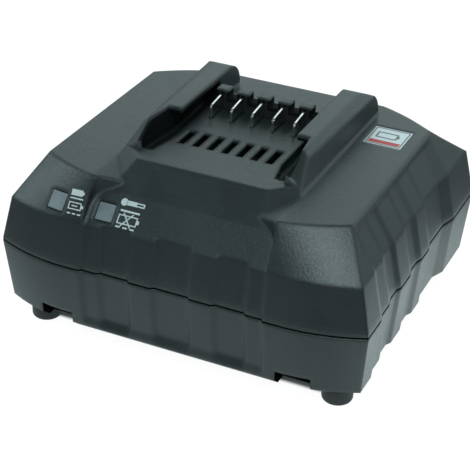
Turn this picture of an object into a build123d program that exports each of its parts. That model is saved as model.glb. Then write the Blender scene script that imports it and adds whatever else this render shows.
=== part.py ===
"""Battery charger with a slide-on dock. Millimetres, +Z up, resting on its feet at Z 0, dock entry at -Y."""
import os

from build123d import *

# ---- housing: heights ----
rail_z = 86.0
dock_z = rail_z - 8.35
plateau_z = dock_z - 3.05
shoulder_z = 57.7
seam_z = 37.8
keel_z = 10.6
base_z = 7.0

# ---- housing: plan ----
half_width = 79.9
front_y = -71.4
rear_y = 71.4
front_corner_y = front_y + 7.6
rear_corner_y = rear_y - 6.1
wall_flat = 46.0
shoulder_x = half_width - 4.3
shoulder_front_y = front_y + 3.2
shoulder_corner_y = front_y + 9.6
crest_x = half_width - 14.8
crest_front_y = front_y + 12.8
crest_corner_y = front_y + 23.0
crest_rear_y = rear_y - 16.7
crest_rear_corner_y = rear_y - 31.1
lower_draft_x = 2.3
lower_draft_y = 2.6
base_chamfer = 4.2
wall_bow = 2.0
crest_bow = 1.3

# ---- shells and seam ----
wall = 2.4
seam_gap = 0.6
lip_height = 2.2
lip_thickness = 1.1
lip_clearance = 0.15
fit_gap = 0.2
cut_margin = 13.0
sky_z = rail_z + cut_margin

# ---- stepped ribs ----
rib_step = 1.1
front_ramp = 1.4
rib_fade = 4.0
rib_crown_z = shoulder_z + 8.3
rib_edges = (7.75, 18.7, 31.7, 39.7)
side_steps = (
    (-50.7, -46.3, 1), (-38.0, -33.6, 2), (-27.1, -24.5, 1), (-13.7, -9.6, 2),
    (-3.6, 0.0, 1), (9.3, 13.5, 2), (30.0, 39.5, 0),
)
crest_strip_z = plateau_z - 2.3

# ---- middle panel and front of the dock ----
panel_half = 39.4
panel_low = (-68.2, dock_z - 21.75)
panel_bend = (-56.6, dock_z - 9.35)
dock_front = (-43.2, dock_z)
tongue_tip = (29.2, -53.0)
tongue_corner_y = -58.9
tongue_drop = 2.6
corner_radius = 6.5

# ---- dock ----
dock_half = 39.5
dock_root_z = plateau_z - 14.6
dock_start_y = -38.5
dock_solid_y = (-64.0, 48.5)
chamfer_x = (34.0, 39.1)
chamfer_z = rail_z - 2.0
rail_outer = 33.4
rail_inner = 25.8
rail_front = (-34.7, -25.0)
rail_rear = (35.5, 47.5)
rail_end_z = dock_z - 0.65
lip_start_y = -9.5
groove_outer = 31.3
groove_flare = 1.7
groove_floor_z = dock_z - 4.05
groove_roof_z = rail_z - 2.4
groove_front_y = -33.5
groove_rear_y = 27.0
pocket_inner = 24.6
facet_in = (29.0, -42.5)
facet_out = (33.5, -38.0)
facet_slope = 0.70

# ---- air slots ----
slot_count = 7
slot_pitch = 6.48
slot_width = 3.2
slot_length = 12.4
slot_y = -16.9
slot_floor = 1.4

# ---- contacts ----
blade_count = 5
blade_pitch = 9.4
blade_thickness = 0.8
blade_front_y = 3.4
blade_rear_y = 15.9
blade_top_z = rail_z - 1.3
blade_slit = 1.3
ridge_half = 22.4
ridge_y = 14.8
ridge_rear_y = 21.0
ridge_z = rail_z - 3.7
hood_width = 5.4
hood_rear_y = 20.0
chamber_half = 2.0
chamber_depth = 4.0
chamber_roof = 1.0
carrier_wall_z = ridge_z - 1.1
carrier_wall_depth = 2.4
carrier_z = dock_z - 10.65

# ---- feet, fasteners, light windows, badge ----
foot_x = half_width - 13.9
foot_y = rear_y - 16.9
foot_radius = 6.3
foot_height = 7.4
screw_x = half_width - 15.9
screw_y = rear_y - 35.4
boss_radius = 4.6
screw_radius = 1.9
notch = (44.8, 59.4, 15.2)
window_size = (7.2, 7.2)
window_gap = 0.3
badge_size = (16.2, 16.7)
badge_centre = (crest_x - 13.6, 27.1)
badge_depth = 0.8

# ---- inside ----
board_z = 17.0
board_thickness = 1.6
board_size = (112.0, 96.0)
board_y = 2.0
board_screw = (51.0, 43.0)
fan_size = 40.0
fan_height = 10.0
fan_y = -18.5
fan_top_z = dock_z - 6.65
fan_hole = 16.0
shaft_radius = 1.5
contact_board_z = dock_z - 15.65
gland_radius = 5.0
gland_bore = 3.2


def moved(points, distance):
    """The open polyline shifted to the left of its direction, keeping mitred corners."""
    vectors = [Vector(*p) for p in points]
    normals = []
    for a, b in zip(vectors, vectors[1:]):
        d = (b - a).normalized()
        normals.append(Vector(-d.Y, d.X))
    result = [vectors[0] + normals[0] * distance]
    for p, m, n in zip(vectors[1:], normals, normals[1:]):
        s = m + n
        result.append(p + s * (2 * distance / s.dot(s)))
    result.append(vectors[-1] + normals[-1] * distance)
    return [(p.X, p.Y) for p in result]


def bow(start, end, height):
    """Shallow outward arc between two plan points, walking anticlockwise."""
    a = Vector(*start)
    b = Vector(*end)
    out = (b - a).cross(Vector(0, 0, 1)).normalized()
    return ThreePointArc(a, (a + b) / 2 + out * height, b)


def plan(z, flat, front, side, front_corner, rear_corner, rear, rise):
    """One bowed plan outline of the housing as a flat face."""
    right = [(flat, front, z), (side, front_corner, z), (side, rear_corner, z), (flat, rear, z)]
    left = [(-x, y, z) for x, y, _ in reversed(right)]
    p = right + left
    edges = [
        Line(p[7], p[0]), bow(p[0], p[1], rise), Line(p[1], p[2]), bow(p[2], p[3], rise),
        Line(p[3], p[4]), bow(p[4], p[5], rise), Line(p[5], p[6]), bow(p[6], p[7], rise),
    ]
    return Face(Wire(edges))


def plate_yz(points, x_from, x_to):
    """A Y-Z polygon made solid between two X positions."""
    face = Face(Wire.make_polygon([(x_from, y, z) for y, z in points]))
    return Solid.extrude(face, Vector(x_to - x_from, 0, 0))


def plate_xz(points, y_from, y_to):
    """An X-Z polygon made solid between two Y positions."""
    face = Face(Wire.make_polygon([(x, y_from, z) for x, z in points]))
    return Solid.extrude(face, Vector(0, y_to - y_from, 0))


def plate_xy(points, z_from, z_to):
    """An X-Y polygon made solid between two heights."""
    face = Face(Wire.make_polygon([(x, y, z_from) for x, y in points]))
    return Solid.extrude(face, Vector(0, 0, z_to - z_from))


def block(x_range, y_range, z_range):
    """Rectangular solid from its three ranges."""
    size = [r[1] - r[0] for r in (x_range, y_range, z_range)]
    middle = [(r[1] + r[0]) / 2 for r in (x_range, y_range, z_range)]
    return Pos(*middle) * Box(*size)


def slab(z_from, z_to):
    """Everything between two heights, out past the walls."""
    reach = half_width + cut_margin
    return block((-reach, reach), (-reach, reach), (z_from, z_to))


def both(shape):
    """The shape together with its mirror image across the middle plane."""
    return [shape, mirror(shape, about=Plane.YZ)]


def pillar(x, y, radius, z_from, z_to):
    """Upright round solid."""
    return Pos(x, y, (z_from + z_to) / 2) * Cylinder(radius, z_to - z_from)


def corners(x, y, centre_y=0.0):
    """The four mirrored positions of a corner feature."""
    return [(sx * x, centre_y + sy * y) for sx in (-1, 1) for sy in (-1, 1)]


def at_height(a, b, z):
    """Point at a height on the line through two profile points."""
    share = (z - a[1]) / (b[1] - a[1])
    return a[0] + (b[0] - a[0]) * share, z


def level(number):
    """Depth of a rib level, with the outermost one clear of the wall."""
    return rib_step * number if number else -0.3


def side_stations():
    """Positions along Y with the recess depth at each."""
    stations = []
    depth = level(0)
    for start, end, number in side_steps:
        stations += [(start, depth), (end, level(number))]
        depth = level(number)
    return stations


def front_stations():
    """Positions along X with the recess depth at each, symmetric about the middle."""
    half = []
    numbers = (2, 1, 2, 1, 0)
    for edge, inner, outer in zip(rib_edges, numbers, numbers[1:]):
        half += [(edge - front_ramp / 2, level(inner)), (edge + front_ramp / 2, level(outer))]
    return [(-x, d) for x, d in reversed(half)] + half


def side_band(profile, inset):
    """Cutter for the stepped recesses down the side wall at +X, from its X-Z profile going up."""
    wires = []
    for y, depth in side_stations():
        loop = moved(profile, depth + inset) + moved(profile, -4.0)[::-1]
        wires.append(Wire.make_polygon([(x, y, z) for x, z in loop]))
    return Solid.make_loft(wires, ruled=True)


def end_band(profile, inset, fade=False):
    """Cutter for the stepped recesses along the front or rear wall, which may fade out at its foot."""
    lowest = min(range(len(profile)), key=lambda i: profile[i][1])
    wires = []
    for x, depth in front_stations():
        inner = moved(profile, depth + inset)
        if fade:
            inner[lowest] = moved(profile, level(0) + inset)[lowest]
        loop = inner + moved(profile, -4.0)[::-1]
        wires.append(Wire.make_polygon([(x, y, z) for y, z in loop]))
    return Solid.make_loft(wires, ruled=True)


def panel_space(inset):
    """Everything above the two slopes of the middle panel and the dock's front face."""
    low = at_height(panel_low, panel_bend, seam_z)
    slopes = moved([low, panel_bend, at_height(panel_bend, dock_front, sky_z)], -inset)
    reach = dock_half + inset
    return plate_yz(slopes + [(slopes[0][0], sky_z)], -reach, reach)


def panel_region(inset):
    """Plan area of the middle panel, with rounded upper corners, as a tall solid."""
    half = panel_half + inset
    tip = (tongue_tip[0] + inset, tongue_tip[1] + inset)
    right = [(half, front_y - 5), (half, tongue_corner_y + inset), tip, (facet_in[0], facet_in[1] + 3)]
    left = [(-x, y) for x, y in reversed(right)]
    region = plate_xy(right + left, seam_z, rail_z)
    upright = region.edges().filter_by(Axis.Z)
    rounded = [e for e in upright if abs(e.center().Y - tongue_corner_y - inset) < 0.1]
    return region.fillet(corner_radius, rounded)


def tongue_dip(inset):
    """Space above the wing's inner edge, which falls gently towards the panel."""
    rise = tongue_drop / (dock_half - tongue_tip[0])
    z = plateau_z - inset
    low = z - rise * dock_half
    outline = [(dock_half, z), (0, low), (-dock_half, z), (-dock_half, sky_z), (dock_half, sky_z)]
    return plate_xz(outline, front_y - cut_margin, dock_start_y)


def upper_form(inset):
    """Upper shell shape without the dock. With an inset it gives the matching shape inside the wall."""
    t = inset
    foot = plan(
        seam_z, wall_flat, front_y + t, half_width - t, front_corner_y + t,
        rear_corner_y - t, rear_y - t, wall_bow,
    )
    shoulder = plan(
        shoulder_z - 0.6 * t, wall_flat - 3, shoulder_front_y + t, shoulder_x - t, shoulder_corner_y + t,
        rear_corner_y - 2 - t, -shoulder_front_y - t, wall_bow,
    )
    top = plan(
        plateau_z - t, panel_half, crest_front_y + t, crest_x - t, crest_corner_y + t,
        crest_rear_corner_y - t, crest_rear_y - t, crest_bow,
    )
    shape = Solid.make_loft([f.outer_wire() for f in (foot, shoulder, top)], ruled=True)
    seam_side = (half_width, seam_z)
    shoulder_side = (shoulder_x, shoulder_z)
    side = [
        at_height(seam_side, shoulder_side, seam_z - 2), shoulder_side,
        at_height(shoulder_side, (crest_x, plateau_z), crest_strip_z + inset),
    ]
    heights = (rib_crown_z, seam_z - 2)
    front = [at_height((front_y, seam_z), (shoulder_front_y, shoulder_z), z) for z in heights]
    rear = [at_height((rear_y, seam_z), (-shoulder_front_y, shoulder_z), z) for z in heights[::-1]]
    cutters = both(side_band(side, t)) + [end_band(front, t), end_band(rear, t)]
    cutters += [tongue_dip(t), panel_space(t) & panel_region(t)]
    for cutter in cutters:
        shape = shape - cutter
    return shape


def lower_form(inset):
    """Lower shell shape. With an inset it gives the matching shape inside the wall."""
    t = inset
    outlines = []
    for z, dx, dy in (
        (seam_z, 0.0, 0.0),
        (keel_z + 0.5 * t, lower_draft_x, lower_draft_y),
        (base_z + t, lower_draft_x + base_chamfer, lower_draft_y + base_chamfer),
    ):
        outlines.append(plan(
            z, wall_flat, front_y + t + dy, half_width - t - dx, front_corner_y + t + dy,
            rear_corner_y - t - dy, rear_y - t - dy, wall_bow,
        ))
    shape = Solid.make_loft([f.outer_wire() for f in outlines], ruled=True)
    steps = ((lower_draft_x + base_chamfer, base_z), (lower_draft_x, keel_z))
    side = [(half_width - dx, z) for dx, z in steps] + [(half_width, seam_z)]
    side = [at_height(side[0], side[1], base_z - 2), side[1], at_height(side[1], side[2], seam_z + 2)]
    keel = (front_y + lower_draft_y, keel_z)
    seam = (front_y, seam_z)
    front = [keel, at_height(keel, seam, keel_z + rib_fade), at_height(keel, seam, seam_z + 2)]
    rear = [(-y, z) for y, z in front]
    for cutter in both(side_band(side, t)) + [end_band(front[::-1], t, True), end_band(rear, t, True)]:
        shape = shape - cutter
    return shape


def facet_space(side):
    """Space outside the chamfered front corner of the dock."""
    a = Vector(*facet_in)
    b = Vector(*facet_out)
    along = (b - a).normalized()
    out = Vector(along.Y, -along.X)
    middle = (a + b) / 2
    origin = Vector(middle.X, middle.Y, dock_z)
    plane = Plane(origin=origin, x_dir=out, z_dir=along)
    up = 1 if plane.y_dir.Z > 0 else -1
    profile = [(-12, 12 * facet_slope * up), (30, -30 * facet_slope * up), (30, 30 * up), (-12, 30 * up)]
    face = Face(Wire.make_polygon([plane.from_local_coords(Vector(*p)) for p in profile]))
    space = Solid.extrude(face, along * 40) + Solid.extrude(face, along * -40)
    return space if side > 0 else mirror(space, about=Plane.YZ)


def groove_space():
    """Undercut groove of the right rail, flaring at its entry, where it is open from above."""
    flare = groove_outer + groove_flare
    outline = [
        (groove_outer, groove_rear_y), (pocket_inner, groove_rear_y), (pocket_inner, -22.0),
        (pocket_inner + 2.0, groove_front_y + 2.5), (pocket_inner + 3.6, groove_front_y),
        (flare - 1.0, groove_front_y), (flare, groove_front_y + 6.5), (flare, groove_front_y + 11.5),
        (groove_outer, lip_start_y),
    ]
    groove = plate_xy(outline, groove_floor_z, groove_roof_z)
    entry = plate_xy(outline, groove_floor_z, sky_z)
    return groove + (entry & block((0, dock_half), (front_y, lip_start_y), (groove_floor_z, sky_z)))


def rail_end(start, crown):
    """Space beyond one rounded rail end, from the foot of its curve to where it reaches the top."""
    beyond = start + 40 if start > crown else start - 40
    swing = 0.7071
    middle = (crown + (start - crown) * swing, rail_end_z + (rail_z - rail_end_z) * swing)
    low = dock_z if start < crown else plateau_z
    arc = ThreePointArc(Vector(0, start, rail_end_z), Vector(0, *middle), Vector(0, crown, rail_z))
    under = rail_end_z - 5
    loop = [
        (crown, rail_z), (crown, sky_z), (beyond, sky_z), (beyond, under), (start, under), (start, rail_end_z),
    ]
    edges = [arc] + [Line(Vector(0, *p), Vector(0, *q)) for p, q in zip(loop, loop[1:])]
    space = Solid.extrude(Face(Wire(edges)), Vector(120, 0, 0)).moved(Location((-60, 0, 0)))
    return space & block((-60, 60), (-120, 120), (low, sky_z))


def blade_positions():
    """X of each contact blade."""
    return [(i - (blade_count - 1) / 2) * blade_pitch for i in range(blade_count)]


def contact_space():
    """Pocket, chambers and slits of the ridge and the floor that the contacts and their carrier fill."""
    half = ridge_half - 0.4
    space = block((-half, half), (ridge_y, ridge_y + carrier_wall_depth), (dock_root_z, carrier_wall_z))
    slit_y = (blade_front_y - 0.3, ridge_y + 1)
    chamber_y = (ridge_y, ridge_y + chamber_depth)
    for x in blade_positions():
        chamber = block((x - chamber_half, x + chamber_half), chamber_y, (dock_root_z, rail_z - chamber_roof))
        slit = block((x - blade_slit / 2, x + blade_slit / 2), slit_y, (dock_root_z, dock_z + 1))
        space = space + chamber + slit
    return space


def dock_solid():
    """Raised dock with its rails, floor and contact ridge."""
    sections = []
    for y, x in zip(dock_solid_y, chamfer_x):
        half = [(dock_half, dock_root_z), (dock_half, plateau_z), (x, chamfer_z), (rail_outer, rail_z)]
        loop = half + [(-px, pz) for px, pz in reversed(half)]
        sections.append(Wire.make_polygon([(px, y, pz) for px, pz in loop]))
    shape = Solid.make_loft(sections, ruled=True)
    between = block((-rail_inner, rail_inner), (front_y, ridge_rear_y), (dock_z, sky_z))
    ridge = block((-ridge_half, ridge_half), (ridge_y, ridge_rear_y), (dock_z - 1, ridge_z))
    for x in blade_positions():
        hood = (x - hood_width / 2, x + hood_width / 2)
        ridge = ridge + block(hood, (ridge_y, hood_rear_y), (dock_z, rail_z))
    spaces = [
        between - ridge, block((-rail_inner, rail_inner), (ridge_rear_y, rear_y), (plateau_z, sky_z)),
        block((-groove_outer, groove_outer), (front_y, lip_start_y), (dock_z, sky_z)),
        rail_end(*rail_front), rail_end(rail_rear[1], rail_rear[0]),
        panel_space(0.0), facet_space(1), facet_space(-1),
    ]
    for space in spaces:
        shape = shape - space
    return shape


def dock_hollow():
    """Room below the dock floor, with a thinner floor round the air slots."""
    reach = (-60, ridge_y + chamber_depth)
    under = block((-ridge_half, ridge_half), reach, (dock_root_z, dock_z - wall)) - panel_space(wall)
    half = slot_length / 2 + 1.2
    slot_room = (slot_y - half, slot_y + half)
    return under + block((-ridge_half, ridge_half), slot_room, (dock_root_z, dock_z - slot_floor))


def beams():
    """Solid stock kept under the grooves."""
    reach = (groove_front_y - wall, groove_rear_y + wall)
    return both(block((ridge_half, dock_half), reach, (groove_floor_z - wall, sky_z)))


def face_seat(shape, x, y, z):
    """Plane lying on the face of a shape nearest to a point, its X level across the object."""
    point = Vector(x, y, z)
    face = sorted(shape.faces(), key=lambda f: f.distance_to(point))[0]
    normal = face.normal_at(point)
    level_x = Vector(-normal.Y, normal.X, 0).normalized()
    if level_x.X < 0:
        level_x = level_x * -1
    return Plane(origin=point, x_dir=level_x, z_dir=normal)


def seated(plane, size_x, size_y, depth, above=0.0):
    """Rectangular plate under a seat plane, optionally standing above it."""
    return plane * Pos(0, 0, (above - depth) / 2) * Box(size_x, size_y, depth + above)


def upper_housing(form, seats):
    """Moulded top shell with dock, ribs, bosses, slots and seats."""
    hollow = upper_form(wall)
    for beam in beams():
        hollow = hollow - beam
    hollow = hollow + dock_hollow()
    bosses = [pillar(x, y, boss_radius, seam_z, plateau_z) for x, y in corners(screw_x, screw_y)]
    bosses += [pillar(x, y, 3.0, fan_top_z, dock_z) for x, y in corners(fan_hole, fan_hole, fan_y)]
    for boss in bosses:
        hollow = hollow - boss
    shell = form + dock_solid() - hollow
    for space in [contact_space()] + both(groove_space()):
        shell = shell - space
    rabbet = upper_form(wall - lip_thickness - lip_clearance)
    shell = shell - (rabbet & slab(seam_z - 1, seam_z + lip_height + lip_clearance))
    for x, y in corners(screw_x, screw_y):
        shell = shell + pillar(x, y, boss_radius, seam_z, seam_z + 6)
        shell = shell - pillar(x, y, screw_radius, seam_z - 1, 56)
    rim = slab(seam_z - 1, seam_z + seam_gap / 2)
    for x, y in corners(screw_x, screw_y):
        rim = rim - pillar(x, y, boss_radius, seam_z, seam_z + 5)
    shell = shell - rim
    for i in range(slot_count):
        x = (i - (slot_count - 1) / 2) * slot_pitch
        y = (slot_y - slot_length / 2, slot_y + slot_length / 2)
        shell = shell - block((x - slot_width / 2, x + slot_width / 2), y, (dock_z - 8, dock_z + 1))
    for x, y in corners(fan_hole, fan_hole, fan_y):
        shell = shell - pillar(x, y, 1.3, fan_top_z - 1, dock_z - 1.2)
    size_x, size_y = window_size
    for seat in seats:
        shell = shell - seated(seat, size_x + 2 * window_gap, size_y + 2 * window_gap, 9.0, above=2.0)
    shell = shell - badge_space(0.1)
    return shell - gland_space()


def badge_space(gap):
    """Volume of the badge recess, enlarged all round by a gap."""
    x, y = badge_centre
    half_x = badge_size[0] / 2 + gap
    half_y = badge_size[1] / 2 + gap
    return block((x - half_x, x + half_x), (y - half_y, y + half_y), (plateau_z - badge_depth, plateau_z + 1))


def gland_space():
    """Round hole through the rear walls for the cord gland."""
    return Pos(0, rear_y - 4, seam_z) * Rot(90, 0, 0) * Cylinder(gland_radius, 16)


def lower_housing():
    """Moulded bottom shell with ribs, lip, posts, screw wells and the two front cut-outs."""
    hollow = lower_form(wall)
    for x, y in corners(screw_x, screw_y):
        hollow = hollow - pillar(x, y, boss_radius, base_z, seam_z)
    for x, y in corners(*board_screw, board_y):
        hollow = hollow - pillar(x, y, 3.4, base_z, board_z)
    for x, y in corners(foot_x, foot_y):
        hollow = hollow - pillar(x, y, 4.4, base_z, base_z + 6)
    x_from, x_to, top = notch
    pocket = block((x_from - wall, x_to + wall), (front_y, -57.0), (base_z, top + wall))
    for part in both(pocket):
        hollow = hollow - part
    shell = lower_form(0.0) - hollow
    shell = shell - slab(seam_z - seam_gap / 2, seam_z + 1)
    ring = upper_form(wall - lip_thickness) - upper_form(wall)
    lip = ring & slab(seam_z - 0.01, seam_z + lip_height)
    root = lower_form(wall - lip_thickness) - lower_form(wall)
    lip = lip + (root & slab(seam_z - 2.0, seam_z))
    shell = shell + lip
    for x, y in corners(screw_x, screw_y):
        shell = shell + pillar(x, y, boss_radius, seam_z - 4, seam_z)
        shell = shell - pillar(x, y, 3.5, base_z - 1, 20.0) - pillar(x, y, screw_radius, 19.0, seam_z + 1)
    for x, y in corners(*board_screw, board_y):
        shell = shell - pillar(x, y, 1.3, base_z + wall, board_z + 1)
    for x, y in corners(foot_x, foot_y):
        shell = shell - pillar(x, y, foot_radius + 0.1, 0, foot_height) - pillar(x, y, 2.3, 0, base_z + 7)
    for cut in both(block((x_from, x_to), (front_y - 5, -59.4), (0, top))):
        shell = shell - cut
    return shell - gland_space()


def foot(x, y):
    """Round rubber foot with a stem pressed through the floor."""
    pad = pillar(x, y, foot_radius, 0, foot_height)
    pad = fillet(pad.edges().sort_by(Axis.Z)[0], 1.8)
    return pad + pillar(x, y, 2.2, foot_height, base_z + 6)


def screw(x, y, z_head, radius, length, up=True, head=1.75):
    """Pan head screw standing on its head height, pointing up or down, with a cross recess."""
    turn = 1 if up else -1
    head_height = radius * 1.3
    body = Pos(0, 0, length / 2) * Cylinder(radius, length)
    body = body + Pos(0, 0, -head_height / 2) * Cylinder(radius * head, head_height)
    for angle in (0, 90):
        bar = Rot(0, 0, angle) * Box(radius * 2.2, radius * 0.4, head_height)
        body = body - Pos(0, 0, -head_height) * bar
    place = Pos(x, y, z_head) * (Rot(0, 0, 0) if turn > 0 else Rot(180, 0, 0))
    return place * body


def contact_blade(x):
    """Upright blade with a rounded leading corner and a narrow solder tail."""
    front = blade_front_y
    rear = blade_rear_y
    low = carrier_z + 1.0
    tail = (front + rear) / 2
    outline = [
        (rear, low), (rear, blade_top_z), (front, blade_top_z - 1.5), (front, low), (tail - 1, low),
        (tail - 1, contact_board_z - 1.5), (tail + 1, contact_board_z - 1.5), (tail + 1, low),
    ]
    blade = plate_yz(outline, x - blade_thickness / 2, x + blade_thickness / 2)
    tips = blade.edges().filter_by(Axis.X).sort_by(lambda e: e.center().Z - e.center().Y)
    return blade.fillet(1.8, [tips[-1]])


def contact_carrier():
    """Black moulding under the dock that holds the blades, with a wall and posts inside the ridge."""
    low = contact_board_z + board_thickness
    front = blade_front_y - 1.4
    rear = ridge_y + chamber_depth - 2 * fit_gap
    half = ridge_half - 0.4 - 2 * fit_gap
    flange_z = groove_floor_z - wall - fit_gap
    shape = block((-half - 3, half + 3), (front, rear), (carrier_z, flange_z))
    shape = shape + block((-half, half), (front, rear), (low, dock_z - wall - fit_gap))
    wall_y = (ridge_y + fit_gap, ridge_y + carrier_wall_depth - fit_gap)
    shape = shape + block((-half, half), wall_y, (low, carrier_wall_z - fit_gap))
    post = chamber_half - fit_gap
    for x in blade_positions():
        top = rail_z - chamber_roof - 2 * fit_gap
        shape = shape + block((x - post, x + post), (ridge_y + fit_gap, rear), (low, top))
    for x in blade_positions():
        width = blade_thickness / 2 + 0.05
        y_range = (blade_front_y - 0.05, blade_rear_y + 0.05)
        shape = shape - block((x - width, x + width), y_range, (low - 1, 90))
    return shape


def light_window(seat):
    """Clear window plate with a light guide behind it."""
    size_x, size_y = window_size
    plate = seated(seat, size_x, size_y, 2.2) - seated(seat, size_x * 2, size_y * 2, 0.25)
    return plate + seat * Pos(0, 0, -5.0) * Cylinder(2.4, 6.0)


def badge_plate():
    """Square plate lying in its recess."""
    return badge_space(0.0) & block((0, 90), (-90, 90), (plateau_z - badge_depth, plateau_z - 0.1))


def main_board():
    """Power board with its four screw holes and the gap for mains clearance."""
    size_x, size_y = board_size
    y_range = (board_y - size_y / 2, board_y + size_y / 2)
    board = block((-size_x / 2, size_x / 2), y_range, (board_z, board_z + board_thickness))
    board = board.fillet(3.0, board.edges().filter_by(Axis.Z))
    for x, y in corners(*board_screw, board_y):
        board = board - pillar(x, y, 1.6, board_z - 1, board_z + 3)
    return board - block((-20, 20), (36.0, 38.0), (board_z - 1, board_z + 3))


def transformer_core(x, y, z):
    """Pair of E cores closed round the bobbin."""
    outer = Pos(x, y, z + 14) * Box(34, 14, 28)
    windows = [Pos(x + s * 9.5, y, z + 14) * Box(8, 15, 19) for s in (-1, 1)]
    return outer - windows[0] - windows[1]


def transformer_winding(x, y, z):
    """Bobbin with rounded winding round the middle limb."""
    winding = Pos(x, y, z + 14) * Box(25.6, 24, 17)
    winding = winding.fillet(5, winding.edges().filter_by(Axis.Z))
    flanges = [Pos(x, y, z + 14 + s * 8.7) * Box(26.4, 26, 1.2) for s in (-1, 1)]
    shape = winding + flanges[0] + flanges[1]
    limb = Pos(x, y, z + 14) * Box(11.2, 14.2, 30)
    feet = Pos(x, y - 11.5, z + 2.4) * Box(22, 2.4, 4.8) + Pos(x, y + 11.5, z + 2.4) * Box(22, 2.4, 4.8)
    return shape - limb + feet


def choke(x, y, z):
    """Ferrite ring standing on edge and its two wound halves."""
    ring = Pos(x, y, z + 12.5) * Rot(90, 0, 0) * (Cylinder(10, 7) - Cylinder(5.5, 8))
    turns = Cylinder(12, 11) - Cylinder(10.1, 7.2)
    turns = turns - Cylinder(3.6, 12) - Box(6, 30, 12)
    turns = turns - (Cylinder(10.1, 7.2) - Cylinder(5.4, 8))
    return ring, Pos(x, y, z + 12.5) * Rot(90, 0, 0) * turns


def can_capacitor(x, y, z, radius, height):
    """Electrolytic capacitor with crimp groove and scored top."""
    can = pillar(x, y, radius, z, z + height)
    can = fillet(can.edges().sort_by(Axis.Z)[-1], radius * 0.12)
    groove = pillar(x, y, radius + 1, z + 2.0, z + 3.0) - pillar(x, y, radius * 0.93, z, z + 5)
    can = can - groove
    for angle in (0, 90):
        can = can - Pos(x, y, z + height) * Rot(0, 0, angle) * Box(radius * 1.2, 0.5, 0.6)
    return can


def heat_sink(x, y, z):
    """Extruded aluminium sink with fins on one side."""
    back = Pos(x, y, z + 15) * Box(3, 60, 30)
    fins = [Pos(x + 5, y + i * 7.0, z + 15) * Box(7, 1.4, 30) for i in range(-4, 5)]
    for fin in fins:
        back = back + fin
    return back


def transistor(x, y, z):
    """Flat power package with tab and legs, lying against the sink."""
    case = Pos(x - 2.4, y, z + 14) * Box(4.6, 10, 9)
    tab = Pos(x - 0.75, y, z + 21.5) * Box(1.3, 10, 6)
    tab = tab - Pos(x - 0.75, y, z + 22) * Rot(0, 90, 0) * Cylinder(1.7, 3)
    legs = [Pos(x - 2.4, y + i * 2.54, z + 4.75) * Box(0.6, 0.9, 9.5) for i in (-1, 0, 1)]
    return case + tab + legs[0] + legs[1] + legs[2]


def fuse(x, y, z):
    """Glass mains fuse in two spring clips."""
    tube = Pos(x, y, z + 5) * Rot(0, 90, 0) * Cylinder(2.4, 20)
    for s in (-1, 1):
        tube = tube + Pos(x + s * 7.6, y, z + 5) * Rot(0, 90, 0) * Cylinder(2.7, 5)
        tube = tube + Pos(x + s * 7.6, y, z + 1.6) * Box(4, 4.4, 3.2)
    return tube


def mains_terminal(x, y, z):
    """Two-way terminal block with wire funnels and screws pockets."""
    shape = Pos(x, y, z + 5.5) * Box(16, 9, 11)
    for s in (-1, 1):
        shape = shape - Pos(x + s * 3.9, y + 3, z + 4) * Rot(90, 0, 0) * Cylinder(2.0, 7)
        shape = shape - Pos(x + s * 3.9, y, z + 10) * Cylinder(2.2, 4)
    return shape


def cord_gland():
    """Grommet in the rear wall with inner and outer flange and an empty bore."""
    outer = rear_y - 2 * rib_step
    profile = [
        (gland_bore, outer - wall - 5), (gland_radius - 0.9, outer - wall - 5),
        (gland_radius + 1.8, outer - wall - 3.2), (gland_radius + 1.8, outer - wall - 1.6),
        (gland_radius - 0.1, outer - wall - 1.6), (gland_radius - 0.1, outer + 0.1),
        (gland_radius + 1.4, outer + 0.1), (gland_radius + 1.4, outer + 1.0),
        (gland_radius + 0.2, outer + 2.1), (gland_bore, outer + 2.1),
    ]
    face = Face(Wire.make_polygon([(x, y, 0) for x, y in profile]))
    return Pos(0, 0, seam_z) * Solid.revolve(face, 360, Axis.Y)


def fan_frame():
    """Square fan housing with a round duct, spokes and the bearing tube."""
    low = fan_top_z - fan_height
    half = fan_size / 2
    frame = block((-half, half), (fan_y - half, fan_y + half), (low, fan_top_z))
    frame = frame.fillet(3.0, frame.edges().filter_by(Axis.Z))
    frame = frame - pillar(0, fan_y, half - 1.2, low - 1, fan_top_z + 1)
    frame = frame + pillar(0, fan_y, 8.2, low, low + 1.4)
    for angle in (25, 115, 205, 295):
        spoke = Rot(0, 0, angle) * Pos(half / 2 + 2, 0, 0) * Box(half - 3.6, 1.8, 1.4)
        frame = frame + Pos(0, fan_y, low + 0.7) * spoke
    frame = frame + pillar(0, fan_y, 3.0, low, low + 6.5)
    frame = frame - pillar(0, fan_y, shaft_radius + 0.05, low + 0.6, fan_top_z)
    for x, y in corners(fan_hole, fan_hole, fan_y):
        frame = frame - pillar(x, y, 1.6, low - 1, fan_top_z + 1)
    return frame


def fan_rotor():
    """Hub cup, curved vanes and shaft of the fan."""
    low = fan_top_z - fan_height
    hub = pillar(0, fan_y, 8.4, low + 2.0, fan_top_z - 0.8)
    hub = hub - pillar(0, fan_y, 7.2, low + 1.0, fan_top_z - 2.0)
    rotor = hub + pillar(0, fan_y, shaft_radius, low + 0.9, fan_top_z - 1.5)
    for i in range(7):
        vane = Rot(0, 0, i * 360 / 7) * Pos(12.4, 0, low + 5.6) * Rot(38, 0, 0) * Box(9.2, 8.0, 0.9)
        rotor = rotor + Pos(0, fan_y, 0) * vane
    return rotor & pillar(0, fan_y, fan_size / 2 - 2.0, low, fan_top_z)


def save(name, shape):
    """Write one node as a STEP file."""
    export_step(shape, os.path.join("parts", name + ".step"))


def group(shapes):
    """Several solids kept as one node."""
    return Compound(children=[s if isinstance(s, Solid) else s.solid() for s in shapes])


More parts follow.
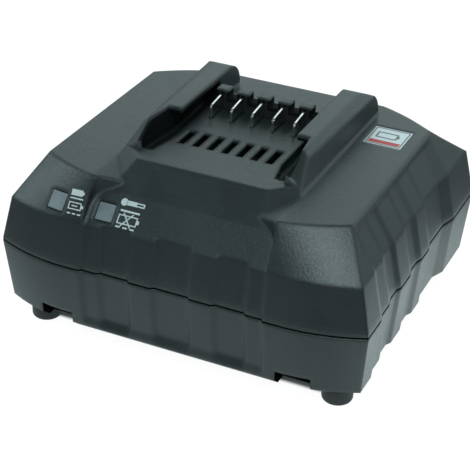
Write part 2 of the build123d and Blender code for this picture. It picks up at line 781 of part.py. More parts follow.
os.makedirs("parts", exist_ok=True)
form = upper_form(0.0)
charge_seat = face_seat(form, -52.6, -64.2, 63.0)
fault_seat = face_seat(form, -32.1, (panel_low[0] + panel_bend[0]) / 2, (panel_low[1] + panel_bend[1]) / 2)
save("upper_housing", upper_housing(form, (charge_seat, fault_seat)))
save("lower_housing", lower_housing())
save("charge_window", light_window(charge_seat))
save("fault_window", light_window(fault_seat))
for row, sy in (("front", -1), ("rear", 1)):
    for side, sx in (("left", -1), ("right", 1)):
        save("foot_" + row + "_" + side, foot(sx * foot_x, sy * foot_y))
save("housing_screws", group([screw(x, y, 20.0, 1.75, 34.0) for x, y in corners(screw_x, screw_y)]))
for number, x in enumerate(blade_positions(), 1):
    save("contact_blade_" + str(number), contact_blade(x))
save("contact_carrier", contact_carrier())
save("badge_plate", badge_plate())

top = board_z + board_thickness
save("main_board", main_board())
board_corners = corners(*board_screw, board_y)
save("board_screws", group([screw(x, y, top, 1.25, 6.5, up=False) for x, y in board_corners]))
save("transformer_core", transformer_core(-33, 8, top))
save("transformer_winding", transformer_winding(-33, 8, top))
ring, turns = choke(34, -30, top)
save("choke_core", ring)
save("choke_winding", group(turns.solids()))
save("mains_capacitor", can_capacitor(36, 2, top, 10.0, 30.0))
save("output_capacitors", group([can_capacitor(-45 + 13 * i, -36, top, 5.0, 20.0) for i in range(3)]))
save("heat_sink", heat_sink(-3, -8, top))
save("power_transistors", group([transistor(-4.5, y, top) for y in (-26, -8, 10)]))
save("fuse", fuse(36, 28, top))
save("mains_terminal", mains_terminal(0, 44, top))
save("cord_gland", cord_gland())

board_low = contact_board_z
contact_board = block((-25, 25), (3.0, 26.0), (board_low, board_low + board_thickness))
for x in blade_positions():
    middle = (blade_front_y + blade_rear_y) / 2
    contact_board = contact_board - block((x - 0.6, x + 0.6), (middle - 1.2, middle + 1.2), (60, 65))
save("contact_board", contact_board)
save("riser_board", block((-15, 15), (22.0, 23.6), (top, board_low)))
save("indicator_board", block((-60, -20), (-50.8, -49.2), (base_z + wall + 3, 58.0)))
leds = [Pos(x, -52.4, 54.0) * Rot(90, 0, 0) * Cylinder(1.5, 3.2) for x in (-48.0, -32.1)]
save("indicator_leds", group(leds))
save("fan_frame", fan_frame())
save("fan_rotor", fan_rotor())
fan_low = fan_top_z - fan_height
save("fan_screws", group([screw(x, y, fan_low, 1.2, 12.0) for x, y in corners(fan_hole, fan_hole, fan_y)]))
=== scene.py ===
"""Battery charger with a slide-on dock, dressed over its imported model. Metres, +Z up, dock entry at -Y."""
import math

import bpy
import numpy as np
from mathutils import Matrix, Vector


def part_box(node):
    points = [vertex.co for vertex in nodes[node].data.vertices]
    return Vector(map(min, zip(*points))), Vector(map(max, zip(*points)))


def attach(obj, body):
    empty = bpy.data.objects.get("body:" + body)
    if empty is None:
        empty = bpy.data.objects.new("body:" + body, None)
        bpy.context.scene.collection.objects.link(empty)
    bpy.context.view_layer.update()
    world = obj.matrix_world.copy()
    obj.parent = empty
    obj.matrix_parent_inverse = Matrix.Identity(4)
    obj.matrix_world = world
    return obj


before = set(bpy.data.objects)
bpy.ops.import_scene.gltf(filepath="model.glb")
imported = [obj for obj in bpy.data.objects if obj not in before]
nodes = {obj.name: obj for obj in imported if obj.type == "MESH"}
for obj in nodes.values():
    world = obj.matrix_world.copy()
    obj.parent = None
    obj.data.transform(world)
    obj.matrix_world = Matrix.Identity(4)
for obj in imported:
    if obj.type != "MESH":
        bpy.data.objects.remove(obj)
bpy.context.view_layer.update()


# ---- camera ----
# A long lens on a tripod, above the right front corner and looking down at about 30 degrees.
# The slight roll and shift are those of a hand-levelled studio camera.
camera_place = Vector((0.2220, -0.4984, 0.3452))
camera_turn, look_down, camera_roll = 24.3, 30.17, 1.61
camera = bpy.data.objects.new("camera", bpy.data.cameras.new("camera"))
camera.data.sensor_width = 36
camera.data.lens = 113.07
camera.data.shift_x = -0.0070
camera.data.shift_y = -0.0005
camera.data.clip_start = 0.05
camera.data.clip_end = 30
camera.matrix_world = (
    Matrix.Translation(camera_place)
    @ Matrix.Rotation(math.radians(camera_turn), 4, "Z")
    @ Matrix.Rotation(math.radians(90 - look_down), 4, "X")
    @ Matrix.Rotation(math.radians(camera_roll), 4, "Z")
)
bpy.context.scene.collection.objects.link(camera)
bpy.context.scene.camera = camera
bpy.context.scene.view_settings.view_transform = "Standard"


# ---- studio ----
# Seamless white sweep under two square softboxes, one high at the front right and a weaker one
# at the left. A bright wall behind the table shows in every upward face, and the front of the
# room is dark. The paper glows in mirror rays, and a brighter patch of that glow at the right
# stands for a white card.


class Value:
    """One socket of a node tree. Arithmetic on it adds Math nodes, and node() adds any other node."""

    def __init__(self, tree, socket=None):
        self.tree = tree
        self.socket = socket

    def node(self, kind, settings=None, inputs=None, output=0):
        """A new node: its settings first, then the values or links of its sockets."""
        made = self.tree.nodes.new(kind)
        for name, setting in (settings or {}).items():
            setattr(made, name, setting)
        for key, given in (inputs or {}).items():
            if isinstance(given, Value):
                self.tree.links.new(given.socket, made.inputs[key])
            else:
                made.inputs[key].default_value = given
        return Value(self.tree, made.outputs[output] if len(made.outputs) else None)

    def maths(self, operation, left, right=0.0):
        """Math node on one or two numbers or sockets."""
        return self.node("ShaderNodeMath", {"operation": operation}, {0: left, 1: right})

    def __add__(self, other):
        return self.maths("ADD", self, other)

    __radd__ = __add__

    def __mul__(self, other):
        return self.maths("MULTIPLY", self, other)

    __rmul__ = __mul__

    def __sub__(self, other):
        return self.maths("SUBTRACT", self, other)

    def __rsub__(self, other):
        return self.maths("SUBTRACT", other, self)

    def __truediv__(self, other):
        return self.maths("DIVIDE", self, other)

    def __gt__(self, other):
        return self.maths("GREATER_THAN", self, other)

    def __lt__(self, other):
        return self.maths("LESS_THAN", self, other)

    def between(self, low, high):
        """0 below low, 1 above high and a smooth rise between them."""
        settings = {"interpolation_type": "SMOOTHSTEP"}
        return self.node("ShaderNodeMapRange", settings, {"Value": self, "From Min": low, "From Max": high})

    def colours(self, low, high):
        """Mix of two colours with this value as its factor. 6, 7 and 2 are the node's colour sockets."""
        return self.node("ShaderNodeMix", {"data_type": "RGBA"}, {0: self, 6: low, 7: high}, output=2)

    def axis(self, index):
        """One coordinate of a vector."""
        return self.node("ShaderNodeSeparateXYZ", None, {0: self}, output=index)

    def noise(self, scale, detail=2.0, roughness=0.5):
        """Noise at so many cells per metre, read at this vector."""
        inputs = {"Vector": self, "Scale": scale, "Detail": detail, "Roughness": roughness}
        return self.node("ShaderNodeTexNoise", None, inputs)

    def stretched(self, scale):
        """This vector scaled along each axis, which draws a pattern out across it."""
        return self.node("ShaderNodeMapping", None, {"Vector": self, "Scale": scale})


def new_material(name):
    """Empty node material, and the object coordinates to write it with."""
    made = bpy.data.materials.new(name)
    made.use_nodes = True
    made.node_tree.nodes.clear()
    return made, Value(made.node_tree).node("ShaderNodeTexCoord", output="Object")


floor_span = 12.0
floor_drop = 0.00002
own_shadow = (0.0690, 0.0550)
shadow_edge = (0.95, 1.0)
paper_strength, paper_share = 1.09, 0.88
glow_range, glow_strength, glow_share = (0.09, 0.21), 1.2, 0.8
card_edge = (0.070, 0.095)
wall_side, wall_foot, wall_top = (-0.15, 0.55), (-0.25, 0.42), (0.46, 0.85)
ceiling_share = 0.08
left_corner, left_loss = (0.36, 0.65), 0.32
lamp_colour = (0.80, 1.0, 1.03)
lamp_aim = (0.0, 0.0, 0.05)
floor_mesh = bpy.data.meshes.new("floor")
corner = np.array([(-1, -1, 0), (1, -1, 0), (1, 1, 0), (-1, 1, 0)]) * floor_span / 2
floor_mesh.from_pydata((corner - (0, 0, floor_drop)).tolist(), [], [(0, 1, 2, 3)])
floor = bpy.data.objects.new("floor", floor_mesh)
bpy.context.scene.collection.objects.link(floor)
# The camera sees even white paper outside the object's own shadow, and plain lit paper inside it,
# where the real shadow falls. In mirror rays the paper mostly glows instead, standing in for lit
# paper: bright near the object, brightest on the card patch at the right and dim further out.
paper, spot = new_material("paper")
seen = spot.node("ShaderNodeLightPath", output="Is Camera Ray")
mirrored = spot.node("ShaderNodeLightPath", output="Is Glossy Ray")
distance = spot.node("ShaderNodeVectorMath", {"operation": "LENGTH"}, {0: spot}, output="Value")
near = 1.0 - distance.between(*glow_range)
card = spot.axis(0).between(*card_edge)
mirror_glow_tone = card.colours((0.84, 1.0, 1.02, 1), (1.46, 1.72, 1.74, 1))
mirror_glow_tone = near.colours((0.12, 0.15, 0.155, 1), mirror_glow_tone)
lit = spot.node("ShaderNodeBsdfDiffuse", None, {"Color": (0.8, 0.8, 0.8, 1)})
white = spot.node("ShaderNodeEmission", None, {"Color": (1, 1, 1, 1), "Strength": paper_strength})
glow = spot.node("ShaderNodeEmission", None, {"Color": mirror_glow_tone, "Strength": glow_strength})
mixed = spot.node("ShaderNodeMixShader", None, {0: mirrored * glow_share, 1: lit, 2: glow})
shadow_x, shadow_y = (spot.maths("ABSOLUTE", spot.axis(i)) / own_shadow[i] for i in (0, 1))
open_floor = spot.maths("MAXIMUM", shadow_x, shadow_y).between(*shadow_edge)
shown = seen * open_floor * paper_share
mixed = spot.node("ShaderNodeMixShader", None, {0: shown, 1: mixed, 2: white})
spot.node("ShaderNodeOutputMaterial", None, {"Surface": mixed})
floor_mesh.materials.append(paper)

world = bpy.data.worlds.new("studio")
bpy.context.scene.world = world
world.use_nodes = True
world.node_tree.nodes.clear()
sky = Value(world.node_tree)
direct = sky.node("ShaderNodeLightPath", output="Is Camera Ray")
through = sky.node("ShaderNodeLightPath", output="Is Transmission Ray")
shown_white = sky.maths("MAXIMUM", direct, through)
toward = sky.node("ShaderNodeTexCoord", output="Generated")
behind = toward.axis(1).between(*wall_side)
leftward = (0.0 - toward.axis(0)).between(*left_corner)
height = toward.axis(2)
wall_band = height.between(*wall_foot) * (1.0 - height.between(*wall_top))
wall_light = behind * (wall_band * (1 - ceiling_share) + ceiling_share) * (1.0 - leftward * left_loss)
room_tone = wall_light.colours((0.125, 0.155, 0.16, 1), (1.36, 1.66, 1.69, 1))
room = sky.node("ShaderNodeBackground", None, {"Color": room_tone, "Strength": 1.0})
backdrop = sky.node("ShaderNodeBackground", None, {"Color": (1, 1, 1, 1), "Strength": 1.0})
sky_mix = sky.node("ShaderNodeMixShader", None, {0: shown_white, 1: room, 2: backdrop})
sky.node("ShaderNodeOutputWorld", None, {"Surface": sky_mix})


def soft_lamp(name, place, size, watts):
    """Square area lamp that looks at the middle of the object."""
    lamp = bpy.data.lights.new(name, "AREA")
    lamp.shape = "SQUARE"
    lamp.size = size
    lamp.energy = watts
    lamp.color = lamp_colour
    holder = bpy.data.objects.new(name, lamp)
    turn = (Vector(lamp_aim) - Vector(place)).to_track_quat("-Z", "Y")
    holder.matrix_world = Matrix.Translation(place) @ turn.to_matrix().to_4x4()
    bpy.context.scene.collection.objects.link(holder)


soft_lamp("front_softbox", (0.33, -0.75, 0.97), 0.62, 11.0)
soft_lamp("left_softbox", (-1.05, -0.35, 0.60), 0.55, 4.6)


# ---- moulded housing shells ----
# Upper and lower shell of glass-filled polyamide, injection moulded in charcoal grey. The tools
# are spark eroded, so the outside has a fine even grain. The seam, the notches in the skirt, the
# grooves under the rails and the contact ridge's front are deep, and their shade is painted in:
# the surface there is mixed towards near black by place.


def surface(place, height=None, depth=0.0, rounding=0.0, painted_shade=None, **sockets):
    """Principled surface. height raises a bump of that depth in metres, rounding softens the edges.

    Where the painted shade factor is 1, the surface is mixed to near black: painted shade standing in for
    the dark inside of a deep gap.
    """
    inputs = {name.replace("_", " "): given for name, given in sockets.items()}
    normal = None
    if rounding:
        normal = place.node("ShaderNodeBevel", {"samples": 6}, {"Radius": rounding})
    if height is not None:
        bump = {"Height": height, "Distance": depth, "Strength": 1.0}
        if normal:
            bump["Normal"] = normal
        normal = place.node("ShaderNodeBump", None, bump)
    if normal:
        inputs["Normal"] = normal
    shader = place.node("ShaderNodeBsdfPrincipled", None, inputs)
    # Painted shade: a near black diffuse is mixed in by the given factor.
    if painted_shade:
        painted_shade_black = place.node("ShaderNodeBsdfDiffuse", None, {"Color": (0.004, 0.004, 0.004, 1)})
        shader = place.node("ShaderNodeMixShader", None, {0: painted_shade, 1: shader, 2: painted_shade_black})
    place.node("ShaderNodeOutputMaterial", None, {"Surface": shader})


def dress(material, *names):
    """Gives CAD nodes their material."""
    for name in names:
        nodes[name].data.materials.clear()
        nodes[name].data.materials.append(material)


charcoal_dark = (0.0075, 0.0105, 0.0112, 1)
charcoal_light = (0.0115, 0.0155, 0.0165, 1)
grain_cells, pore_cells, speck_cells = 1900.0, 4940.0, 1000.0
grain_depth = 0.00004
edge_radius = 0.0026
seam_height, seam_gap_half = 0.0378, 0.00036
notch_inner, notch_outer, notch_top = 0.0447, 0.0595, 0.01528
notch_front, notch_back = -0.0686, -0.0592
ridge_half, ridge_front, ridge_back = 0.0226, 0.0146, 0.0203
ridge_foot, ridge_top = 0.0780, 0.0852
groove_inner, groove_outer, groove_roof = 0.0262, 0.0334, 0.0845
groove_front, groove_back = -0.0338, 0.0280
# How strongly shade is painted on the contact ridge's front and in the grooves under the rails.
ridge_painted_shade, groove_painted_shade = 0.88, 0.72
moulded, spot = new_material("moulded_housing")
grain = spot.noise(grain_cells, 3.0, 0.62)
pores = spot.noise(pore_cells, 2.0, 0.6)
speck = spot.noise(speck_cells, 2.0, 0.6)
cloud = spot.noise(46.0, 3.0, 0.6)
mottle = (cloud * 0.55 + grain * 0.45).between(0.34, 0.66)
across, along, up = spot.maths("ABSOLUTE", spot.axis(0)), spot.axis(1), spot.axis(2)
# Boxes in the shell's own coordinates where shade is painted: the seam, the skirt's notches, the contact
# ridge's front and the grooves under the rails.
in_seam = spot.maths("ABSOLUTE", up - seam_height) < seam_gap_half
in_notch = (across > notch_inner) * (across < notch_outer) * (up < notch_top)
in_notch = in_notch * (along > notch_front) * (along < notch_back)
in_ridge = (across < ridge_half) * (along > ridge_front) * (along < ridge_back)
in_ridge = in_ridge * (up > ridge_foot) * (up < ridge_top)
in_groove = (across > groove_inner) * (across < groove_outer) * (up < groove_roof)
in_groove = in_groove * (along > groove_front) * (along < groove_back)
gap_painted_shade = spot.maths("MAXIMUM", in_seam, in_notch)
recess_painted_shade = spot.maths("MAXIMUM", in_ridge * ridge_painted_shade, in_groove * groove_painted_shade)
# The shells get painted shade in those boxes: full near black in the seam and notches, a little less on the
# ridge's front and in the grooves.
surface(
    spot, height=grain + pores * 0.6 + speck * 2.2, depth=grain_depth, rounding=edge_radius,
    painted_shade=spot.maths("MAXIMUM", gap_painted_shade, recess_painted_shade),
    Base_Color=mottle.colours(charcoal_dark, charcoal_light),
    Roughness=cloud * 0.10 + grain * 0.06 + speck * 0.16 + 0.24,
)
dress(moulded, "upper_housing", "lower_housing")


# ---- feet and cord gland ----
# Soft black rubber. The feet are pressed through the floor of the lower shell and the gland
# is squeezed between the shells. Handling leaves the rubber dull with a grey bloom.
rubber, spot = new_material("black_rubber")
bloom = spot.noise(90.0, 4.0, 0.6).between(0.35, 0.75)
skin = spot.noise(2600.0, 2.0, 0.5)
surface(
    spot, height=skin, depth=0.00003, rounding=0.0004,
    Base_Color=bloom.colours((0.012, 0.012, 0.013, 1), (0.030, 0.030, 0.031, 1)),
    Roughness=bloom * 0.15 + 0.62,
)
dress(rubber, "foot_front_left", "foot_front_right", "foot_rear_left", "foot_rear_right", "cord_gland")


# ---- screws ----
# Thread-forming pan head screws of zinc plated steel, driven up from below into the bosses,
# and smaller ones for the board and the fan.
zinc, spot = new_material("zinc_plating")
swirl = spot.stretched((1, 1, 6)).noise(900.0, 3.0, 0.6)
surface(
    spot, height=swirl, depth=0.00001, rounding=0.0002, Metallic=1.0,
    Base_Color=swirl.between(0.3, 0.7).colours((0.46, 0.47, 0.49, 1), (0.66, 0.66, 0.64, 1)),
    Roughness=swirl * 0.2 + 0.25,
)
dress(zinc, "housing_screws", "board_screws", "fan_screws")


# ---- contact carrier ----
# Black polyester moulding under the dock that holds the blades upright and lines the
# chambers behind them. It has a smooth skin of low gloss.
carrier_plastic, spot = new_material("black_polyester")
flow = spot.stretched((1, 4, 1)).noise(160.0, 3.0, 0.6)
surface(
    spot, height=spot.noise(3000.0), depth=0.00001, rounding=0.0003,
    Base_Color=flow.colours((0.008, 0.008, 0.009, 1), (0.018, 0.018, 0.019, 1)),
    Roughness=flow * 0.15 + 0.50, Specular_IOR_Level=0.12,
)
dress(carrier_plastic, "contact_carrier")


# ---- contact blades ----
# Five stamped blades of tin plated copper alloy, rolled along their length and rubbed bright
# by the battery's sockets.
tin, spot = new_material("tin_plating")
rolled = spot.stretched((1, 1, 14)).noise(700.0, 4.0, 0.65)
stain = spot.noise(240.0, 2.0, 0.5)
surface(
    spot, height=rolled, depth=0.00001, rounding=0.0002, Metallic=1.0,
    Base_Color=(rolled * 0.6 + stain * 0.4).between(0.35, 0.65).colours(
        (0.62, 0.60, 0.57, 1), (0.86, 0.85, 0.82, 1)
    ),
    Roughness=rolled * 0.08 + 0.10,
)
dress(tin, *["contact_blade_" + str(number) for number in range(1, 6)])


# ---- light windows ----
# Two square plates of frosted polycarbonate with a light guide behind each, set just below the
# skin of the shell. Unlit, they look pale blue-grey and a little cloudy.
frosted, spot = new_material("frosted_window")
haze = spot.noise(1500.0, 3.0, 0.6)
shade = spot.noise(150.0, 2.0, 0.5)
surface(
    spot, height=haze, depth=0.00002, rounding=0.0003,
    Base_Color=shade.between(0.3, 0.7).colours((0.100, 0.118, 0.130, 1), (0.140, 0.160, 0.172, 1)),
    Roughness=haze * 0.15 + 0.30,
)
dress(frosted, "charge_window", "fault_window")


# ---- printed symbols ----
# Pad printed in white ink beside each window: a full battery over a charging one, and a
# thermometer over a crossed-out battery. Each state has a bar for steady light or three dashes
# for blinking light under it.
ink_thickness = 0.00005
cross_thickness = ink_thickness * 1.6
ink_sink = 0.00003
drop_height = 0.003
above_all = 0.2
millimetre = 0.001
mitre_limit = 0.35
cap_length = 1.1
ink, spot = new_material("white_ink")
cover = spot.noise(4200.0, 3.0, 0.6)
surface(
    spot, Base_Color=cover.between(0.25, 0.6).colours((0.26, 0.28, 0.28, 1), (0.46, 0.49, 0.49, 1)),
    Roughness=cover * 0.2 + 0.45,
)


def stroke(path, width, closed=False):
    """Line of ink as a rectangular bar along a path in millimetres, as points and faces.

    At each path point the bar's half width is laid off along the mitre of its two neighbouring
    directions, divided by the cosine of half the turn, so that the sides stay parallel to the path.
    """
    path = np.asarray(path, float)
    ahead = np.roll(path, -1, 0) - path
    ahead /= np.linalg.norm(ahead, axis=1, keepdims=True)
    behind = np.roll(ahead, 1, 0)
    if not closed:
        ahead[-1] = behind[-1]
        behind[0] = ahead[0]
    across = np.stack([-(ahead + behind)[:, 1], (ahead + behind)[:, 0]], 1)
    across /= np.linalg.norm(across, axis=1, keepdims=True)
    half_turn = np.abs(across[:, 0] * -ahead[:, 1] + across[:, 1] * ahead[:, 0])
    side = across * (width / 2 / np.maximum(half_turn, mitre_limit))[:, None]
    ring = [(path + side, 0), (path - side, 0), (path - side, 1), (path + side, 1)]
    grid = np.stack([np.column_stack([xy, np.full(len(xy), z)]) for xy, z in ring], 1)
    count = len(path)
    first = np.arange(count if closed else count - 1)
    follow = (first + 1) % count
    faces = [
        np.stack([first * 4 + k, follow * 4 + k, follow * 4 + (k + 1) % 4, first * 4 + (k + 1) % 4], 1)
        for k in range(4)
    ]
    faces = np.concatenate(faces)
    if not closed:
        last = 4 * (count - 1)
        caps = np.array([(0, 1, 2, 3), (last + 3, last + 2, last + 1, last)])
        faces = np.concatenate([faces, caps])
    return grid.reshape(-1, 3), faces


def dense(path, closed=False, pitch=0.7):
    """The same path with points added on its straight parts, at most a pitch apart."""
    path = np.asarray(path, float)
    ends = np.roll(path, -1, 0) if closed else path[1:]
    parts = []
    for a, b in zip(path, ends):
        count = math.ceil(np.linalg.norm(b - a) / pitch)
        parts.append(a + (b - a) * (np.arange(count) / count)[:, None])
    return np.concatenate(parts if closed else parts + [path[-1:]])


def printed(name, strokes, node, seat, turn, material, thickness=ink_thickness):
    """Mesh of several strokes draped over a CAD node around a seat, given as point and normal.

    Each point is laid off in the seat's plane and dropped along its normal onto the node. The
    bars' lower side lies a little under the skin and their upper side above it. A level seat is
    read along +X and a sloping one along its own level direction, turned by so many degrees.
    """
    origin, normal = seat
    level = Vector((-normal.y, normal.x, 0))
    level = level.normalized() if level.length > 0.1 else Vector((1, 0, 0))
    if level.x < 0:
        level.negate()
    level.rotate(Matrix.Rotation(math.radians(turn), 3, normal))
    rise = normal.cross(level)
    points, faces, start = [], [], 0
    for path, width, *closed in strokes:
        grid, quads = stroke(dense(path, *closed), width, *closed)
        height = (grid[:, 2] * (thickness + ink_sink) - ink_sink)[:, None]
        offset = grid[:, :1] * np.array(level) + grid[:, 1:2] * np.array(rise)
        above = np.array(origin) + offset * millimetre + np.array(normal) * drop_height
        landed = [nodes[node].ray_cast(Vector(p), -normal)[1] for p in above]
        points.append(np.array(landed) + height * np.array(normal))
        faces.append(quads + start)
        start += len(grid)
    mesh = bpy.data.meshes.new(name)
    mesh.from_pydata(np.concatenate(points).tolist(), [], np.concatenate(faces).tolist())
    mesh.materials.append(material)
    piece = bpy.data.objects.new(name, mesh)
    bpy.context.scene.collection.objects.link(piece)
    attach(piece, "charger")


def seat_on(node, x, y):
    """Point and normal of a CAD node's surface straight below a place given in millimetres."""
    start = Vector((x * millimetre, y * millimetre, above_all))
    hit, point, normal, _ = nodes[node].ray_cast(start, Vector((0, 0, -1)))
    if not hit:
        raise ValueError("nothing of " + node + " lies below the printed symbol")
    return point, normal


def circle(x, y, radius, count=20):
    """Points of a circle: the middle plus the radius times the cosine and sine of even angles."""
    angle = np.radians(np.linspace(0.0, 360.0, count, endpoint=False))
    return np.stack([x + radius * np.cos(angle), y + radius * np.sin(angle)], 1)


def bar(x, y, length, width):
    """Level bar from its left end."""
    return [(x, y), (x + length, y)], width


def dashes(x, y, length, width, gap):
    """Three dashes in a row."""
    return [bar(x + i * (length + gap), y, length, width) for i in range(3)]


def cell_outline(x, y, length, height, width):
    """Outlined battery with its small end cap on the right."""
    right, middle = x + length, y + height / 2
    body = [(x, y), (right, y), (right, y + height), (x, y + height)]
    cap = [(right + width / 2, middle), (right + cap_length, middle)]
    return [(body, width, True), (cap, height * 0.45)]


charge_seat = seat_on("upper_housing", -47.2, -64.2)
charge_print = [bar(0.2, 3.8, 5.3, 2.4), bar(5.5, 3.8, 0.7, 1.2), bar(0.2, 1.5, 5.9, 0.55)]
charge_print += cell_outline(0.3, -2.8, 5.4, 2.6, 0.45) + dashes(0.2, -4.6, 1.5, 0.55, 0.75)
charge_print.append(bar(1.5, -1.5, 2.7, 0.45))
printed("charge_symbols", charge_print, "upper_housing", charge_seat, 5.0, ink)

fault_seat = seat_on("upper_housing", -26.4, -62.4)
fault_print = [(circle(0.9, 5.7, 0.75), 1.5, True), bar(1.9, 5.7, 4.5, 1.9)]
fault_print += [([(6.4, 5.1), (9.6, 5.1), (9.6, 6.3), (6.4, 6.3)], 0.5), bar(0.4, 2.3, 8.4, 0.75)]
fault_print += cell_outline(0.5, -2.9, 8.0, 3.4, 0.45) + dashes(0.4, -4.4, 1.9, 0.65, 1.2)
printed("fault_symbols", fault_print, "upper_housing", fault_seat, 0.0, ink)
cross = [([(2.2, -3.9), (6.4, 1.5)], 0.5), ([(2.2, 1.5), (6.4, -3.9)], 0.5)]
printed("fault_cross", cross, "upper_housing", fault_seat, 0.0, ink, cross_thickness)


# ---- badge plate ----
# Thin aluminium plate with a satin clear coat, glued into its recess. It has a plain generic
# print: a dark frame, a battery outline and a red band.
satin, spot = new_material("satin_plate")
brushed = spot.stretched((1, 18, 1)).noise(500.0, 3.0, 0.6)
surface(
    spot, height=brushed, depth=0.000008, rounding=0.0003, Metallic=0.35,
    Base_Color=brushed.between(0.3, 0.7).colours((0.44, 0.47, 0.48, 1), (0.56, 0.59, 0.60, 1)),
    Roughness=brushed * 0.15 + 0.30, Coat_Weight=0.3,
)
dress(satin, "badge_plate")
red_ink, spot = new_material("red_ink")
cover = spot.noise(2400.0, 3.0, 0.6)
surface(
    spot, Base_Color=cover.colours((0.36, 0.015, 0.012, 1), (0.50, 0.035, 0.025, 1)),
    Roughness=cover * 0.2 + 0.35,
)
grey_ink, spot = new_material("grey_ink")
cover = spot.noise(2400.0, 3.0, 0.6)
surface(
    spot, Base_Color=cover.colours((0.06, 0.065, 0.07, 1), (0.11, 0.115, 0.12, 1)),
    Roughness=cover * 0.2 + 0.35,
)
badge_low, badge_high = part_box("badge_plate")
badge_middle = (badge_low + badge_high) / 2
badge_seat = (Vector((badge_middle.x, badge_middle.y, badge_high.z)), Vector((0, 0, 1)))
frame_line = [(-7.2, -7.4), (7.2, -7.4), (7.2, 7.4), (-7.2, 7.4)]
badge_lines = [(frame_line, 0.5, True)] + cell_outline(-5.0, -1.0, 8.4, 4.6, 0.7)
printed("badge_frame", badge_lines, "badge_plate", badge_seat, 0.0, grey_ink)
printed("badge_band", [bar(-6.6, -5.2, 13.2, 2.8)], "badge_plate", badge_seat, 0.0, red_ink)


# ---- circuit boards ----
# Glass epoxy laminate under green solder mask, with copper tracks showing as lighter
# bands, all made from one panel.
mask, spot = new_material("solder_mask")
weave = spot.noise(1400.0, 2.0, 0.5)
square_cells = {"distance": "CHEBYCHEV", "feature": "F1"}
lanes = spot.node("ShaderNodeTexVoronoi", square_cells, {"Vector": spot, "Scale": 160.0})
tracks = lanes.between(0.30, 0.34)
surface(
    spot, height=tracks, depth=0.00003,
    Base_Color=tracks.colours((0.012, 0.085, 0.035, 1), (0.020, 0.135, 0.055, 1)),
    Roughness=weave * 0.15 + 0.25,
)
dress(mask, "main_board", "indicator_board", "contact_board", "riser_board")


# ---- indicator lamps ----
# Two clear epoxy light emitting diodes, cast in one piece each and soldered to the indicator
# board, one behind each light guide.
epoxy, spot = new_material("clear_epoxy")
swirl = spot.noise(800.0)
surface(
    spot, Base_Color=swirl.colours((0.62, 0.70, 0.62, 1), (0.80, 0.85, 0.80, 1)),
    Roughness=swirl * 0.1 + 0.08,
)
dress(epoxy, "indicator_leds")


# ---- transformer and choke ----
# Ground grey ferrite cores. The transformer's winding is wrapped in yellow polyester tape and the
# ring of the choke carries two halves of enamelled copper wire.
ferrite, spot = new_material("ground_ferrite")
chip = spot.noise(1200.0, 4.0, 0.7)
surface(
    spot, height=chip, depth=0.00004, rounding=0.0003,
    Base_Color=chip.colours((0.040, 0.040, 0.043, 1), (0.085, 0.085, 0.088, 1)),
    Roughness=chip * 0.2 + 0.5,
)
dress(ferrite, "transformer_core", "choke_core")
tape, spot = new_material("polyester_tape")
wrap = spot.stretched((0.2, 0.2, 3)).noise(420.0, 2.0)
surface(
    spot, height=wrap, depth=0.0001, rounding=0.0004,
    Base_Color=wrap.colours((0.60, 0.42, 0.05, 1), (0.78, 0.60, 0.12, 1)),
    Roughness=wrap * 0.2 + 0.25,
)
dress(tape, "transformer_winding")
wire, spot = new_material("enamelled_wire")
bands = {"wave_type": "BANDS", "bands_direction": "X"}
turns = spot.node("ShaderNodeTexWave", bands, {"Vector": spot, "Scale": 260.0})
surface(
    spot, height=turns, depth=0.0003,
    Base_Color=turns.colours((0.30, 0.10, 0.03, 1), (0.62, 0.27, 0.10, 1)),
    Roughness=turns * 0.1 + 0.22,
)
dress(wire, "choke_winding")


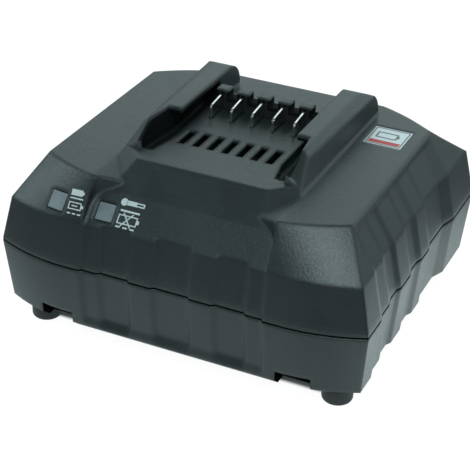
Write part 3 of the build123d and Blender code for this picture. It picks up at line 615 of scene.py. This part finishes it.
# ---- capacitors, fuse and packages ----
# Aluminium cans in shrunk sleeves, a glass fuse in plated clips, and black moulded
# power packages, all standing on the main board.
sleeve, spot = new_material("shrunk_sleeve")
wrinkle = spot.stretched((1, 1, 0.3)).noise(300.0, 3.0)
surface(
    spot, height=wrinkle, depth=0.00008, rounding=0.0003,
    Base_Color=wrinkle.colours((0.015, 0.018, 0.050, 1), (0.035, 0.040, 0.090, 1)),
    Roughness=wrinkle * 0.2 + 0.25,
)
dress(sleeve, "mains_capacitor", "output_capacitors")
glass, spot = new_material("fuse_glass")
film = spot.noise(500.0)
surface(
    spot, rounding=0.0002, Base_Color=film.colours((0.62, 0.68, 0.70, 1), (0.78, 0.82, 0.84, 1)),
    Roughness=film * 0.1 + 0.05,
)
dress(glass, "fuse")
package, spot = new_material("moulded_package")
speck = spot.noise(2600.0, 2.0)
surface(
    spot, height=speck, depth=0.00003, rounding=0.0002,
    Base_Color=speck.colours((0.012, 0.012, 0.012, 1), (0.026, 0.026, 0.026, 1)),
    Roughness=speck * 0.2 + 0.45,
)
dress(package, "power_transistors")


# ---- heat sink ----
# Extruded aluminium profile, sawn to length and left bare, with fine die lines along the fins.
# It stands on the main board, and the power packages lie against its flat side.
extruded, spot = new_material("extruded_aluminium")
lines = spot.stretched((20, 20, 0.5)).noise(120.0, 3.0)
surface(
    spot, height=lines, depth=0.00002, rounding=0.0002, Metallic=1.0,
    Base_Color=lines.colours((0.58, 0.59, 0.60, 1), (0.74, 0.74, 0.75, 1)),
    Roughness=lines * 0.2 + 0.28,
)
dress(extruded, "heat_sink")


# ---- mains terminal ----
# Two-way terminal block of moulded green polyamide, soldered to the rear of the main board in
# line with the cord gland.
green, spot = new_material("green_polyamide")
flow = spot.noise(300.0, 3.0)
surface(
    spot, height=spot.noise(2800.0), depth=0.00002, rounding=0.0003,
    Base_Color=flow.colours((0.035, 0.16, 0.06, 1), (0.055, 0.22, 0.09, 1)),
    Roughness=flow * 0.15 + 0.38,
)
dress(green, "mains_terminal")


# ---- fan ----
# Square axial fan of black glass-filled polyester under the air slots. Its hub and seven vanes
# are one moulding, whose shaft turns in the tube of the fan's frame.
fan_plastic, spot = new_material("fan_polyester")
flow = spot.noise(220.0, 3.0)
surface(
    spot, height=spot.noise(2800.0), depth=0.00002, rounding=0.0002,
    Base_Color=flow.colours((0.010, 0.010, 0.011, 1), (0.022, 0.022, 0.023, 1)),
    Roughness=flow * 0.15 + 0.38,
)
dress(fan_plastic, "fan_frame", "fan_rotor")
